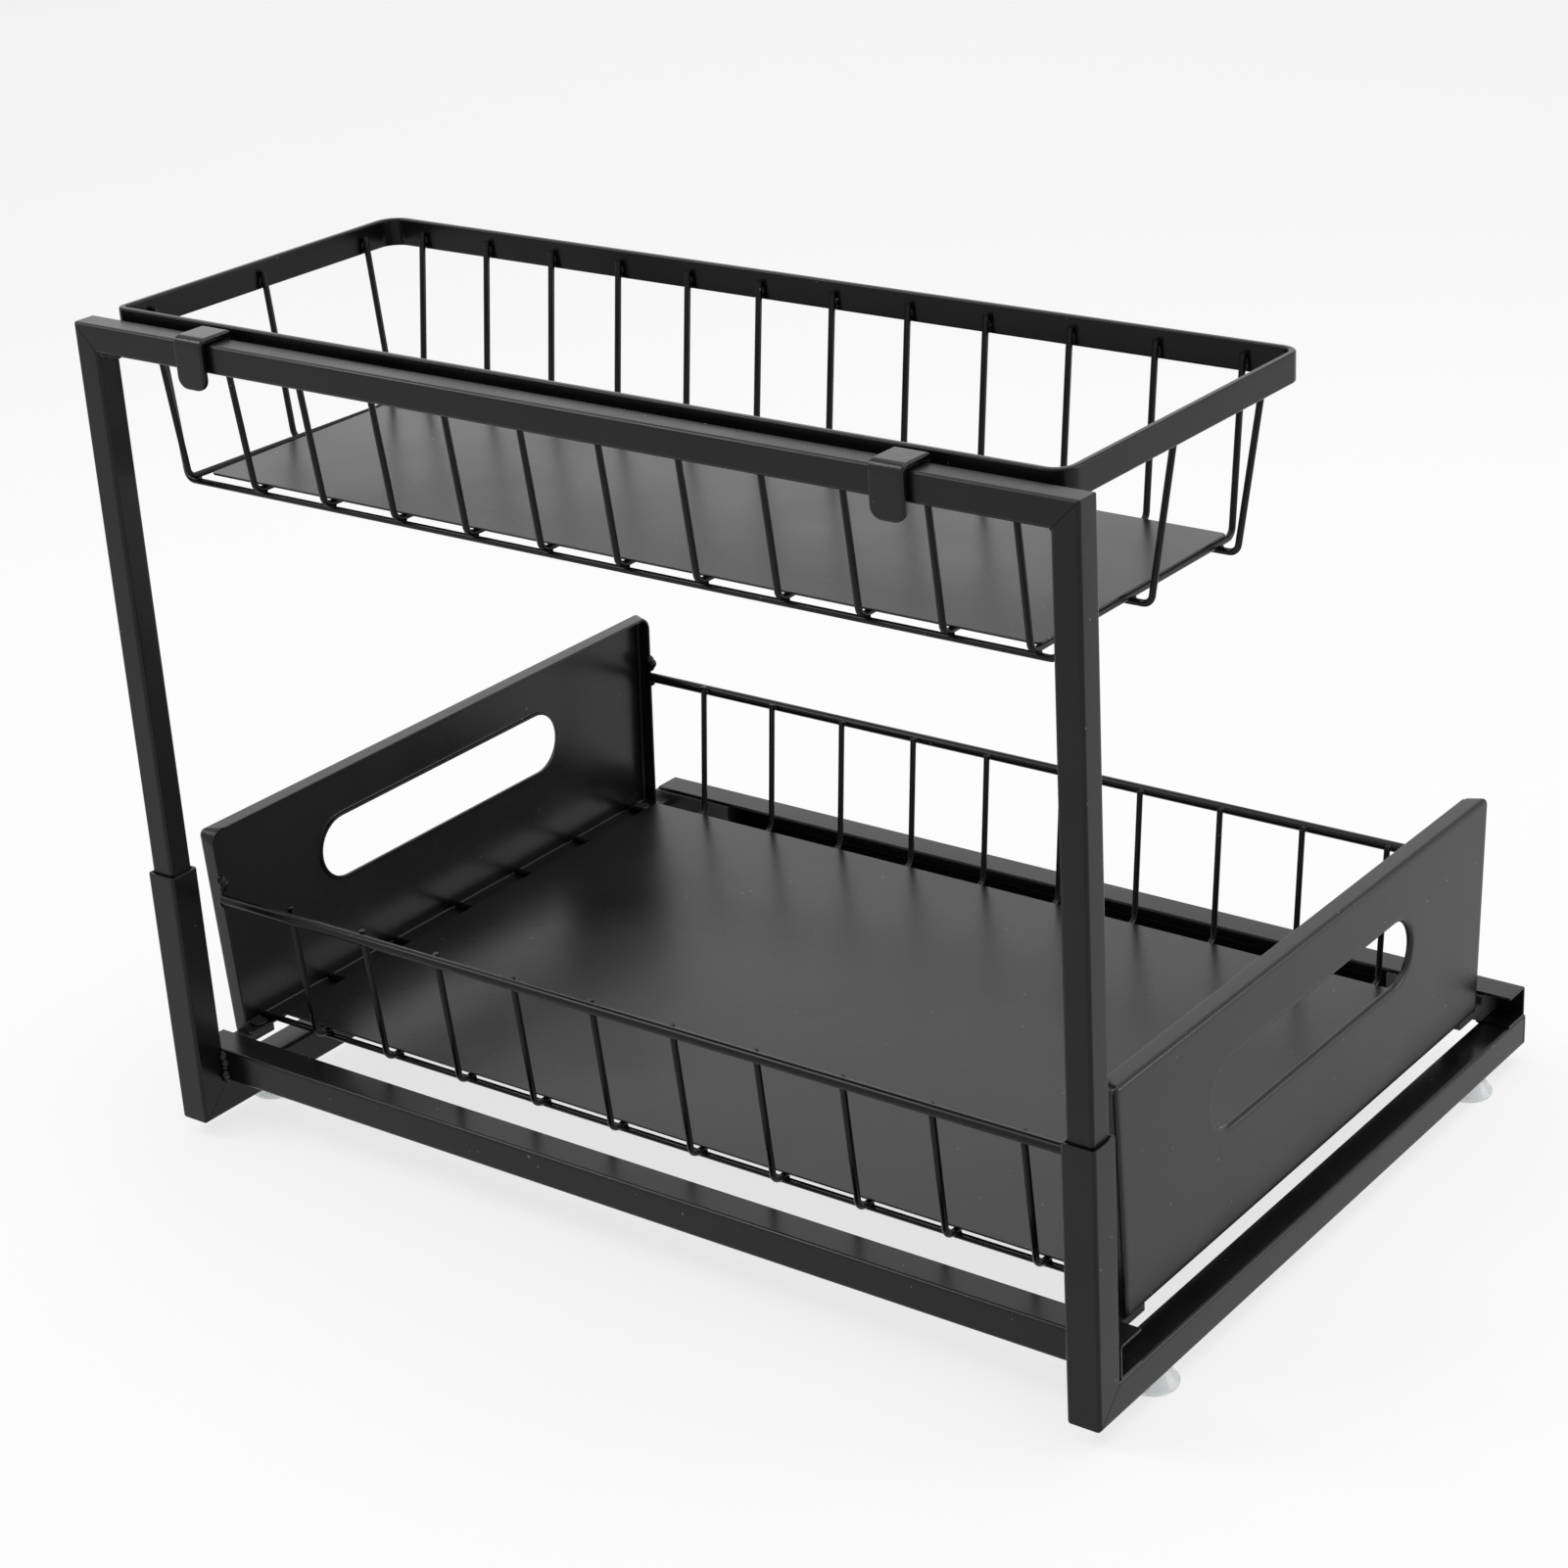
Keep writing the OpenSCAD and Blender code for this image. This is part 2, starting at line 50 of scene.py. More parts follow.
camera_data = bpy.data.cameras.new("camera")
camera_data.sensor_width = 36
camera_data.lens = 78.98
camera_data.shift_x = -0.0831
camera_data.shift_y = 0.0429
camera_data.clip_start = 0.05
camera_data.clip_end = 50
camera = bpy.data.objects.new("camera", camera_data)
scene.collection.objects.link(camera)
camera_place = Vector((0.6910, -0.9154, 0.6219))
camera_right = Vector((0.82169, 0.56848, -0.04066))
camera_down = Vector((0.20532, -0.36181, -0.90936))
camera_forward = Vector((-0.53166, 0.73887, -0.41401))
camera.matrix_world = Matrix((
    (camera_right.x, -camera_down.x, -camera_forward.x, camera_place.x),
    (camera_right.y, -camera_down.y, -camera_forward.y, camera_place.y),
    (camera_right.z, -camera_down.z, -camera_forward.z, camera_place.z),
    (0, 0, 0, 1),
))
scene.camera = camera


def deselect():
    """Leaves edit mode and deselects everything."""
    if bpy.context.object and bpy.context.object.mode != "OBJECT":
        bpy.ops.object.mode_set(mode="OBJECT")
    for other in list(bpy.context.selected_objects):
        other.select_set(False)


def linear(code):
    """An sRGB hex colour as linear red, green, blue and alpha."""
    channels = [int(code[i:i + 2], 16) / 255 for i in (1, 3, 5)]
    return [c / 12.92 if c <= 0.04045 else ((c + 0.055) / 1.055) ** 2.4 for c in channels] + [1]


def add_node(tree, kind, settings=(), values=(), links=()):
    """Adds a shader node with its settings, the constants on its sockets, and its links."""
    made = tree.nodes.new(kind)
    for key, value in dict(settings).items():
        setattr(made, key, value)
    for key, value in dict(values).items():
        made.inputs[key].default_value = value
    for key, source in dict(links).items():
        tree.links.new(source, made.inputs[key])
    return made


def blank_finish(name):
    """A new material with an empty node tree."""
    material = bpy.data.materials.new(name)
    material.use_nodes = True
    material.node_tree.nodes.clear()
    return material


def sees_backdrop(tree):
    """A socket that is 1 for the rays that show the backdrop itself: camera, glossy and
    transmission rays."""
    rays = add_node(tree, "ShaderNodeLightPath")
    seen = rays.outputs["Is Camera Ray"]
    for ray in ("Is Glossy Ray", "Is Transmission Ray"):
        seen = add_node(tree, "ShaderNodeMath", {"operation": "MAXIMUM"}, links={
            0: seen, 1: rays.outputs[ray]}).outputs[0]
    return seen


paper_size = 12
paper_glow = 0.75
deselect()
bpy.ops.mesh.primitive_plane_add(size=paper_size)
floor = bpy.context.object
floor.name = "studio_floor"

paper = blank_finish("white studio paper")
tree = paper.node_tree
share = add_node(tree, "ShaderNodeMath", {"operation": "MULTIPLY"}, {1: paper_glow},
                 {0: sees_backdrop(tree)})
lit = add_node(tree, "ShaderNodeBsdfDiffuse", values={"Color": linear("#f4f4f4")})
glow = add_node(tree, "ShaderNodeEmission", values={"Color": linear("#ffffff"), "Strength": 1.0})
mixed = add_node(tree, "ShaderNodeMixShader", links={
    0: share.outputs[0], 1: lit.outputs[0], 2: glow.outputs[0]})
add_node(tree, "ShaderNodeOutputMaterial", links={"Surface": mixed.outputs[0]})
floor.data.materials.append(paper)

room_light = 0.45
world = bpy.data.worlds.new("studio")
scene.world = world
world.use_nodes = True
tree = world.node_tree
tree.nodes.clear()
soft, white = (add_node(tree, "ShaderNodeBackground", values={
    "Color": linear("#ffffff"), "Strength": strength}) for strength in (room_light, 1.0))
mixed = add_node(tree, "ShaderNodeMixShader", links={
    0: sees_backdrop(tree), 1: soft.outputs[0], 2: white.outputs[0]})
add_node(tree, "ShaderNodeOutputWorld", links={"Surface": mixed.outputs[0]})

for name, place, aim, size, watts in (
    ("lamp_key", (-0.85, -0.70, 1.25), (0, 0, 0.15), 0.6, 7),
    ("lamp_over", (0.2, 0.2, 1.6), (0, 0, 0.1), 1.5, 12),
    ("lamp_back", (-1.3, 1.7, 0.9), (0, 0, 0.15), 1.7, 2.5),
    ("lamp_right", (1.7, 1.0, 0.55), (0, 0, 0.1), 1.1, 13),
):
    lamp_data = bpy.data.lights.new(name, "AREA")
    lamp_data.size = size
    lamp_data.energy = watts
    lamp = bpy.data.objects.new(name, lamp_data)
    lamp.location = place
    lamp.rotation_euler = (Vector(aim) - Vector(place)).to_track_quat("-Z", "Y").to_euler()
    scene.collection.objects.link(lamp)


# The base: welded square steel tube, a sleeve standing on each base tube's mitred front corner, and
# two C-channels of folded sheet lying across the tubes. All of it is powder coated black in one go.
patch_size = 0.045
patch_gloss = (-0.04, 0.05)
speckle_share = 0.45
speck_size = 0.0017
speck_colour = "#6a6a68"
speck_from, speck_full = 0.86, 0.9


def powder_coat(name, dark, light, roughness, grain, depth, ior):
    """Black polyester powder baked on steel: a satin skin with a faint orange peel, grain metres
    from crest to crest and depth metres deep, slightly uneven gloss and a few pale specks."""
    material = blank_finish(name)
    tree = material.node_tree
    where = {"Vector": add_node(tree, "ShaderNodeTexCoord").outputs["Object"]}
    patches = add_node(tree, "ShaderNodeTexNoise", values={"Scale": 1 / patch_size, "Detail": 3},
                       links=where)
    speckle = add_node(tree, "ShaderNodeTexNoise", values={"Scale": 1 / (grain * 0.6), "Detail": 2},
                       links=where)
    blend = add_node(tree, "ShaderNodeMath", {"operation": "MULTIPLY_ADD"}, {1: speckle_share},
                     {0: speckle.outputs["Fac"], 2: patches.outputs["Fac"]})
    tone = add_node(tree, "ShaderNodeValToRGB", links={"Fac": blend.outputs[0]})
    for element, position, colour in zip(tone.color_ramp.elements, (0.5, 0.95), (dark, light)):
        element.position = position
        element.color = linear(colour)
    dust = add_node(tree, "ShaderNodeTexNoise", values={"Scale": 1 / speck_size, "Detail": 0},
                    links=where)
    specks = add_node(tree, "ShaderNodeMapRange", values={
        "From Min": speck_from, "From Max": speck_full}, links={"Value": dust.outputs["Fac"]})
    tone = add_node(tree, "ShaderNodeMix", {"data_type": "RGBA"}, {7: linear(speck_colour)},
                    {0: specks.outputs["Result"], 6: tone.outputs["Color"]})
    gloss = add_node(tree, "ShaderNodeMapRange", values={
        "From Min": 0.3, "From Max": 0.7,
        "To Min": roughness + patch_gloss[0], "To Max": roughness + patch_gloss[1]},
        links={"Value": patches.outputs["Fac"]})
    peel = add_node(tree, "ShaderNodeTexNoise", values={"Scale": 1 / grain, "Detail": 2},
                    links=where)
    bump = add_node(tree, "ShaderNodeBump", values={"Strength": 1.0, "Distance": depth},
                    links={"Height": peel.outputs["Fac"]})
    skin = add_node(tree, "ShaderNodeBsdfPrincipled", values={"IOR": ior, "Metallic": 0.0}, links={
        "Base Color": tone.outputs[2], "Roughness": gloss.outputs["Result"],
        "Normal": bump.outputs["Normal"]})
    add_node(tree, "ShaderNodeOutputMaterial", links={"Surface": skin.outputs[0]})
    return material


def settle(piece, name, body, slot, material, *nodes):
    """Names a finished piece, gives it its coat, and puts it on its body for the CAD nodes."""
    piece.name = name
    piece.data.materials.clear()
    piece.data.materials.append(material)
    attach(piece, body)
    if nodes:
        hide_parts(*nodes)


smooth_up_to = math.radians(50)


def finish_edges(piece, width, segments=2, sharp=40):
    """Rounds a piece's edges as a coat of powder rounds them, and shades its flat faces flat."""
    edge = piece.modifiers.new("edge", "BEVEL")
    edge.width = width
    edge.segments = segments
    edge.limit_method = "ANGLE"
    edge.angle_limit = math.radians(sharp)
    bpy.ops.object.modifier_apply(modifier=edge.name)
    bpy.ops.object.shade_smooth_by_angle(angle=smooth_up_to)
    shade = piece.modifiers.new("shade", "WEIGHTED_NORMAL")
    shade.keep_sharp = True
    bpy.ops.object.modifier_apply(modifier=shade.name)
    return piece


def skin_over(loops, pairs, caps=()):
    """A skin over rings of as many points each, bridged in pairs, with flat caps on some. They are
    bridged while they lie apart as plain circles, and then take their own shapes."""
    deselect()
    count = len(loops[0])
    step = 0.3
    for number in range(len(loops)):
        if number:
            bpy.ops.mesh.select_all(action="DESELECT")
        bpy.ops.mesh.primitive_circle_add(vertices=count, radius=1 + step * number)
        if number:
            bpy.ops.transform.translate(value=(0, 0, number))
        else:
            piece = bpy.context.object
            bpy.ops.object.mode_set(mode="EDIT")
    for chosen in list(pairs) + [(cap,) for cap in caps]:
        bpy.ops.mesh.select_mode(type="EDGE")
        bpy.ops.mesh.select_all(action="DESELECT")
        bpy.ops.object.mode_set(mode="OBJECT")
        for edge in piece.data.edges:
            first, second = (v // count for v in edge.vertices)
            edge.select = first == second and first in chosen
        bpy.ops.object.mode_set(mode="EDIT")
        if len(chosen) == 2:
            bpy.ops.mesh.bridge_edge_loops()
        else:
            bpy.ops.mesh.edge_face_add()
    bpy.ops.object.mode_set(mode="OBJECT")
    for vertex in piece.data.vertices:
        vertex.co = loops[vertex.index // count][vertex.index % count]
    bpy.ops.object.mode_set(mode="EDIT")
    bpy.ops.mesh.select_all(action="SELECT")
    bpy.ops.mesh.normals_make_consistent(inside=False)
    bpy.ops.object.mode_set(mode="OBJECT")
    return piece


def rounded_corners(reach, radii, steps):
    """The points round a rectangle with rounded corners, about the origin. reach is half its
    length and half its width, and radii starts at the back right corner."""
    points = []
    for quarter, (u, v) in enumerate(((1, 1), (-1, 1), (-1, -1), (1, -1))):
        outer, inner = radii[quarter]
        for k in range(steps + 1):
            a = math.radians(90 * (quarter + k / steps))
            points.append((u * (reach[0] - outer) + inner * math.cos(a),
                           v * (reach[1] - outer) + inner * math.sin(a)))
    return points


def square_tube(side, wall, corner, start, end):
    """A hollow square tube. start and end place a section's point, so either end can be mitred."""
    inside_corner = 0.0004
    mouth_round = 0.0003
    loops = []
    for width, radius in ((side, corner), (side - 2 * wall, inside_corner)):
        section = rounded_corners((width / 2, width / 2), [(radius, radius)] * 4, 6)
        loops += [[put(u, v) for u, v in section] for put in (start, end)]
    return finish_edges(skin_over(loops, ((0, 1), (1, 3), (3, 2), (2, 0))), mouth_round)


def weld_bead(points, radius, squash):
    """A short weld bead under the coat: overlapping drops of uneven size, each squashed alike."""
    unevenness = 0.16
    deselect()
    for index, point in enumerate(points):
        size = radius * (1 + unevenness * math.sin(2.7 * index + 40 * point[0]))
        if index:
            bpy.ops.mesh.select_all(action="DESELECT")
        bpy.ops.mesh.primitive_uv_sphere_add(segments=14, ring_count=8, radius=1)
        if index == 0:
            bead = bpy.context.object
            bpy.ops.object.mode_set(mode="EDIT")
        bpy.ops.transform.resize(value=[size * s for s in squash])
        bpy.ops.transform.translate(value=point)
    bpy.ops.object.mode_set(mode="OBJECT")
    bpy.ops.object.shade_smooth()
    return bead


tube_coat = powder_coat("satin black powder coat on steel tube", "#0a0a0b", "#101011",
                        0.27, 0.0016, 0.00002, 1.33)
base_side = 0.0127
base_wall = 0.0012
tube_corner = 0.0013
half_side = base_side / 2
for side in ("left", "right"):
    low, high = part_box("base_tube_" + side)
    x = (low.x + high.x) / 2
    z = (low.z + high.z) / 2
    front, back = low.y, high.y
    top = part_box("sleeve_" + side)[1].z
    for name, far_end in (("base_tube_", lambda u, v: (x + u, back, z + v)),
                          ("sleeve_", lambda u, v: (x + u, front + half_side + v, top))):
        tube = square_tube(base_side, base_wall, tube_corner,
                           lambda u, v: (x + u, front + half_side + v, z + v), far_end)
        settle(tube, name + side + "_coated", "frame", "frame_steel", tube_coat, name + side)

channel_wall = 0.001
channel_bend = 0.0014
channel_edge = 0.0002
bend_angles = [math.radians(18 * k) for k in range(6)]
for end, sign in (("front", 1), ("back", -1)):
    low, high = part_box("channel_" + end)
    depth = high.y - low.y
    tall = high.z - low.z
    outer, inner = (
        [(depth, at)] + [(at + r - r * math.sin(a), at + r - r * math.cos(a)) for a in bend_angles]
        for r, at in ((channel_bend, 0), (channel_bend - channel_wall, channel_wall)))
    outline = outer + [(y, tall - z) for y, z in reversed(outer)]
    outline += [(y, tall - z) for y, z in inner] + inner[::-1]
    web_y = low.y if end == "front" else high.y
    loops = [[(x, web_y + sign * y, low.z + z) for y, z in outline] for x in (low.x, high.x)]
    channel = finish_edges(skin_over(loops, ((0, 1),), (0, 1)), channel_edge)
    settle(channel, "channel_" + end + "_coated", "frame", "frame_steel", tube_coat,
           "channel_" + end)

sleeve_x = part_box("sleeve_right")[0].x
channel_low, channel_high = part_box("channel_front")
back_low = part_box("channel_back")[0]
# Five drops in the corner between sleeve and channel stand out by turns; along each channel's
# open side a bead runs from weld_from to weld_to.
corner_drop = 0.0021
corner_pitch = 0.0024
stand_out = 0.0005
channel_drop = 0.0017
weld_from, weld_to = 0.001, 0.010
for side, sign in (("left", -1), ("right", 1)):
    x = sign * sleeve_x
    beads = [(x - sign * (0.0004 + stand_out * (k % 2)),
              channel_low.y - 0.0004 - stand_out * (k % 3 == 1),
              channel_low.z + 0.0012 + corner_pitch * k) for k in range(5)]
    settle(weld_bead(beads, corner_drop, (0.9, 0.9, 0.8)), "sleeve_weld_" + side, "frame",
           "frame_steel", tube_coat)
    for end, y0, y1 in (("front", channel_high.y - weld_to, channel_high.y - weld_from),
                        ("back", back_low.y + weld_from, back_low.y + weld_to)):
        x = sign * (channel_high.x - base_side)
        beads = [(x, y0 + (y1 - y0) * k / 4, channel_low.z + 0.0003) for k in range(5)]
        settle(weld_bead(beads, channel_drop, (0.7, 1.0, 0.6)),
               "channel_weld_" + end + "_" + side, "frame", "frame_steel", tube_coat)


# The back ends of the base tubes are closed by two plugs with a thin square head, injection
# moulded from nylon and pressed in.
merge_within = 0.000002
flat_within = math.radians(0.5)


def eased(node, width, segments=2):
    """A merged copy of a CAD node with rounded edges."""
    deselect()
    piece = bpy.data.objects.new(node + "_copy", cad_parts[node].data.copy())
    scene.collection.objects.link(piece)
    bpy.context.view_layer.objects.active = piece
    piece.select_set(True)
    bpy.ops.object.mode_set(mode="EDIT")
    bpy.ops.mesh.select_all(action="SELECT")
    bpy.ops.mesh.remove_doubles(threshold=merge_within)
    bpy.ops.mesh.dissolve_limited(angle_limit=flat_within)
    bpy.ops.mesh.normals_make_consistent(inside=False)
    bpy.ops.object.mode_set(mode="OBJECT")
    return finish_edges(piece, width, segments)


# Nylon from a spark-eroded mould is a dull black. Its grain of about 0.1 mm is drawn at 0.8 mm, so
# that it shows.
spark_grain = 0.0008
spark_depth = 0.00002
nylon = blank_finish("moulded black nylon")
tree = nylon.node_tree
place = add_node(tree, "ShaderNodeTexCoord")
spark = add_node(tree, "ShaderNodeTexNoise", values={"Scale": 1 / spark_grain, "Detail": 3},
                 links={"Vector": place.outputs["Object"]})
bump = add_node(tree, "ShaderNodeBump", values={"Strength": 1.0, "Distance": spark_depth},
                links={"Height": spark.outputs["Fac"]})
rough = add_node(tree, "ShaderNodeMapRange", values={"To Min": 0.48, "To Max": 0.6},
                 links={"Value": spark.outputs["Fac"]})
skin = add_node(tree, "ShaderNodeBsdfPrincipled",
                values={"Base Color": linear("#121213"), "IOR": 1.53},
                links={"Roughness": rough.outputs["Result"], "Normal": bump.outputs["Normal"]})
add_node(tree, "ShaderNodeOutputMaterial", links={"Surface": skin.outputs[0]})
moulded_edge = 0.0004
for side in ("left", "right"):
    node = "end_plug_" + side
    settle(eased(node, moulded_edge), node + "_moulded", "frame", "nylon", nylon, node)


# Four feet of clear silicone, cast as round pads with a neck and soft edges, and stuck to the
# undersides of the base tubes. They are a cloudy clear that lets the white floor through, and
# look wet in patches.
cloud_size = 0.003
cast_edge = 0.0005
silicone = blank_finish("clear cast silicone")
tree = silicone.node_tree
place = add_node(tree, "ShaderNodeTexCoord")
cloud = add_node(tree, "ShaderNodeTexNoise", values={"Scale": 1 / cloud_size, "Detail": 3},
                 links={"Vector": place.outputs["Object"]})
rough = add_node(tree, "ShaderNodeMapRange", values={"To Min": 0.12, "To Max": 0.3},
                 links={"Value": cloud.outputs["Fac"]})
skin = add_node(tree, "ShaderNodeBsdfPrincipled", values={
    "Base Color": linear("#d3d8d8"), "IOR": 1.41, "Transmission Weight": 0.7},
    links={"Roughness": rough.outputs["Result"]})
add_node(tree, "ShaderNodeOutputMaterial", links={"Surface": skin.outputs[0]})
for end in ("front", "back"):
    for side in ("left", "right"):
        node = "foot_" + end + "_" + side
        settle(eased(node, cast_edge, 3), node + "_cast", "frame", "silicone", silicone, node)


# The arch: two uprights and a rail of thinner square tube, welded at mitred corners. It plugs into
# the sleeves and pulls off upward.
arch_side = 0.010
arch_wall = 0.001
arch_half = arch_side / 2
low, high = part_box("top_rail")
rail_y = (low.y + high.y) / 2
rail_z = (low.z + high.z) / 2
rail = square_tube(arch_side, arch_wall, tube_corner,
                   lambda u, v: (low.x + arch_half - v, rail_y + u, rail_z + v),
                   lambda u, v: (high.x - arch_half + v, rail_y + u, rail_z + v))
settle(rail, "top_rail_coated", "arch", "frame_steel", tube_coat, "top_rail")
for side, sign in (("left", -1), ("right", 1)):
    low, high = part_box("upright_" + side)
    x = (low.x + high.x) / 2
    upright = square_tube(arch_side, arch_wall, tube_corner,
                          lambda u, v: (x + u, rail_y + v, low.z),
                          lambda u, v: (x + u, rail_y + v, high.z - arch_half + sign * u))
    settle(upright, "upright_" + side + "_coated", "arch", "frame_steel", tube_coat,
           "upright_" + side)
inner_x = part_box("upright_left")[0].x + arch_side
weld_z = rail_z - arch_half - 0.0003
left_drop, right_drop = 0.0019, 0.0014
# The left corner's weld has run along under the rail; the right one lies across the tube.
beads = [(inner_x + 0.0016 * k, rail_y - 0.0028 + 0.0002 * k, weld_z) for k in range(5)]
settle(weld_bead(beads, left_drop, (1.0, 1.0, 0.8)), "arch_weld_left", "arch", "frame_steel",
       tube_coat)
beads = [(-inner_x - 0.0004, rail_y - 0.0022 + 0.0014 * k, weld_z) for k in range(4)]
settle(weld_bead(beads, right_drop, (0.7, 1.0, 0.7)), "arch_weld_right", "arch", "frame_steel",
       tube_coat)


# The drawer's end panels: sheet steel pressed to a shallow tray form. All four edges are folded in,
# and the handle slot has a turned-in rim, so that no cut edge meets the hand.
sheet_coat = powder_coat("fine-grained black powder coat on sheet steel", "#0b0b0c", "#121213",
                         0.28, 0.0011, 0.000012, 1.38)
panel_low, panel_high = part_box("drawer_panel_left")
sheet = 0.001
sheet_edge = 0.00025
flange_edge = 0.0002
fold = 0.0018
slot_roll = 0.0016
margin = 0.003
side_flange = 0.0068
top_more = 0.0007
bottom_more = 0.0022
slot_half = 0.0699
slot_radius = 0.0124
slot_height = 0.0515
lip = 0.0022
corner_radius = 0.002
relief_radius = 0.006
near = 1e-6
bottom_half = 0.1246
top_half = (panel_high.y - panel_low.y) / 2
panel_height = panel_high.z - panel_low.z
mid_y = (panel_high.y + panel_low.y) / 2


def pick_edges(mesh, test):
    """Selects the edges whose two ends both pass the test."""
    bpy.ops.mesh.select_mode(type="EDGE")
    bpy.ops.mesh.select_all(action="DESELECT")
    bpy.ops.object.mode_set(mode="OBJECT")
    for edge in mesh.edges:
        edge.select = all(test(mesh.vertices[v]) for v in edge.vertices)
    bpy.ops.object.mode_set(mode="EDIT")


def panel_outline(radius, inset=0.0):
    """Forty points round a panel, drawn in by inset, with its top corners rounded. Heights are
    above the panel's bottom edge."""
    lean = (top_half - bottom_half) / panel_height
    top = panel_height - inset
    points = [((bottom_half - inset) * (k + 0.5) / 4, inset) for k in range(4)]
    for k in range(4):
        z = inset + (top - radius - inset) * k / 4
        points.append((bottom_half + lean * z - inset, z))
    arc_y = bottom_half + lean * (top - radius) - inset - radius
    for k in range(9):
        a = math.pi / 2 * k / 8
        points.append((arc_y + radius * math.cos(a), top - radius + radius * math.sin(a)))
    points += [(arc_y * (1 - (k + 0.7) / 3.4), top) for k in range(3)]
    return points + [(-y, z) for y, z in reversed(points)]


def slot_outline(grow=0.0):
    """Forty points round the handle slot, set out by grow."""
    points = []
    for k in range(20):
        a = math.radians(180 * k / 19 - 90)
        points.append((slot_half - slot_radius + (slot_radius + grow) * math.cos(a),
                       slot_height + (slot_radius + grow) * math.sin(a)))
    return points + [(-y, z) for y, z in reversed(points)]


for side, sign, face_x in (("left", -1, panel_low.x),
                           ("right", 1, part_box("drawer_panel_right")[1].x)):
    rings = ((lip, slot_outline()), (0, slot_outline()), (0, slot_outline(margin)),
             (0, panel_outline(corner_radius, margin)), (0, panel_outline(corner_radius)),
             (side_flange, panel_outline(relief_radius)))
    panel = skin_over([[(face_x - sign * deep, mid_y + y, panel_low.z + z) for y, z in ring]
                       for deep, ring in rings], [(k, k + 1) for k in range(5)])
    bpy.ops.object.mode_set(mode="EDIT")
    flange_x = face_x - sign * side_flange
    pick_edges(panel.data,
               lambda v: abs(v.co.x - flange_x) < near and v.co.z < panel_low.z + 10 * near)
    bpy.ops.mesh.extrude_edges_move(TRANSFORM_OT_translate={"value": (-sign * bottom_more, 0, 0)})
    pick_edges(panel.data,
               lambda v: abs(v.co.x - flange_x) < near and v.co.z > panel_high.z - 10 * near)
    bpy.ops.mesh.extrude_edges_move(TRANSFORM_OT_translate={"value": (-sign * top_more, 0, 0)})
    for ring, rounding in ((slot_outline(), slot_roll), (panel_outline(corner_radius), fold)):
        pick_edges(panel.data, lambda v: abs(v.co.x - face_x) < near and min(
            math.dist((v.co.y - mid_y, v.co.z - panel_low.z), point) for point in ring) < near)
        bpy.ops.mesh.bevel(offset=rounding, segments=4, profile=0.5)
    bpy.ops.mesh.select_all(action="SELECT")
    bpy.ops.mesh.remove_doubles(threshold=0.000005)
    bpy.ops.mesh.normals_make_consistent(inside=False)
    bpy.ops.object.mode_set(mode="OBJECT")
    if max(panel.data.polygons, key=lambda f: f.area).normal.x * sign < 0:
        bpy.ops.object.mode_set(mode="EDIT")
        bpy.ops.mesh.select_all(action="SELECT")
        bpy.ops.mesh.flip_normals()
        bpy.ops.object.mode_set(mode="OBJECT")
    wall = panel.modifiers.new("wall", "SOLIDIFY")
    wall.thickness = sheet
    wall.offset = -1
    wall.use_even_offset = True
    bpy.ops.object.modifier_apply(modifier=wall.name)
    finish_edges(panel, flange_edge, 2, 60)
    settle(panel, "drawer_panel_" + side + "_pressed", "drawer", "sheet_steel", sheet_coat,
           "drawer_panel_" + side)


# The drawer's floor: a plain sheet of steel with its cut edges rounded by the coat. It is laid on
# the wire grid and held by spot welds from below.
settle(eased("drawer_floor", sheet_edge), "drawer_floor_coated", "drawer", "sheet_steel",
       sheet_coat, "drawer_floor")


# The drawer's straight rods: two top rods welded between the end panels' slanting flanges, and
# seven floor rods that lie on the bottom flanges. Above each top rod's end sits a drip of weld.
wire_coat = powder_coat("satin black powder coat on round wire", "#0a0a0b", "#101011",
                        0.24, 0.0013, 0.00001, 1.28)
rod_edge = 0.0003
rod_drop = 0.0023
for end in ("front", "back"):
    node = "drawer_top_rod_" + end
    settle(eased(node, rod_edge), node + "_coated", "drawer", "wire_steel", wire_coat, node)
    low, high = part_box(node)
    y, z = (low.y + high.y) / 2, (low.z + high.z) / 2
    for side, x, inward in (("left", low.x, 0.0004), ("right", high.x, -0.0004)):
        drops = [(x + inward, y, z), (x, y, z - 0.0016), (x + inward, y, z + 0.0048),
                 (x + 3 * inward, y, z + 0.0064), (x, y, z + 0.0078)]
        settle(weld_bead(drops, rod_drop, (0.8, 0.8, 0.9)), "rod_weld_" + end + "_" + side,
               "drawer", "wire_steel", wire_coat)
for number in range(1, 8):
    node = "drawer_floor_rod_" + str(number)
    settle(eased(node, rod_edge), node + "_coated", "drawer", "wire_steel", wire_coat, node)


# The drawer's ten U-shaped wires: drawn wire bent up at both ends, laid over the floor rods and
# resistance-welded to them and to the top rods, which leaves a small flat drop at each crossing.
def wire_path(run_z, tips, feet, tip_z, bend):
    """The middle line of a bent wire, as points with the heading at each. It rises from feet,
    where its run would meet its legs, to its tips."""
    path = []
    for tip, foot, turn in zip(tips, feet, (1, -1)):
        lean = math.atan2(abs(tip - foot), tip_z - run_z)
        setback = bend * math.tan((math.pi / 2 - lean) / 2)
        points = [(tip, tip_z, math.pi / 2 - lean)]
        for k in range(7):
            a = (math.pi / 2 - lean) * (1 - k / 6)
            points.append((foot + turn * setback - turn * bend * math.sin(a),
                           run_z + bend * (1 - math.cos(a)), a))
        path.append([(p, z, -turn * a) for p, z, a in points])
    return path[0] + path[1][::-1]


